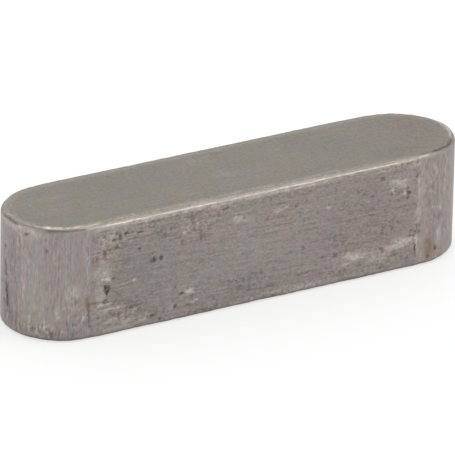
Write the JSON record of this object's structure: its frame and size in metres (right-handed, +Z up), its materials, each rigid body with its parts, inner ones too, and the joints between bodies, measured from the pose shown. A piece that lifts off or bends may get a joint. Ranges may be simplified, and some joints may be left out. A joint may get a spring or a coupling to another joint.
{
  "type": "parallel key",
  "caption": "Square-section steel parallel key with both ends milled round and all edges lightly broken, for a shaft and hub keyway.",
  "frame": {"origin": "centre of the base, midway between the two round ends", "axes": "+X along the key from end to end, +Y across it from flank to flank, +Z up from the base to the top"},
  "size_m": [0.025, 0.006, 0.006],
  "materials": {
    "steel": "plain grey key steel, drawn flanks with fine lines along the length, milled ends with upright tool marks, edges worn bright, small pits and stains"
  },
  "bodies": {
    "root": {"parallel_key": "steel"}
  },
  "joints": []
}
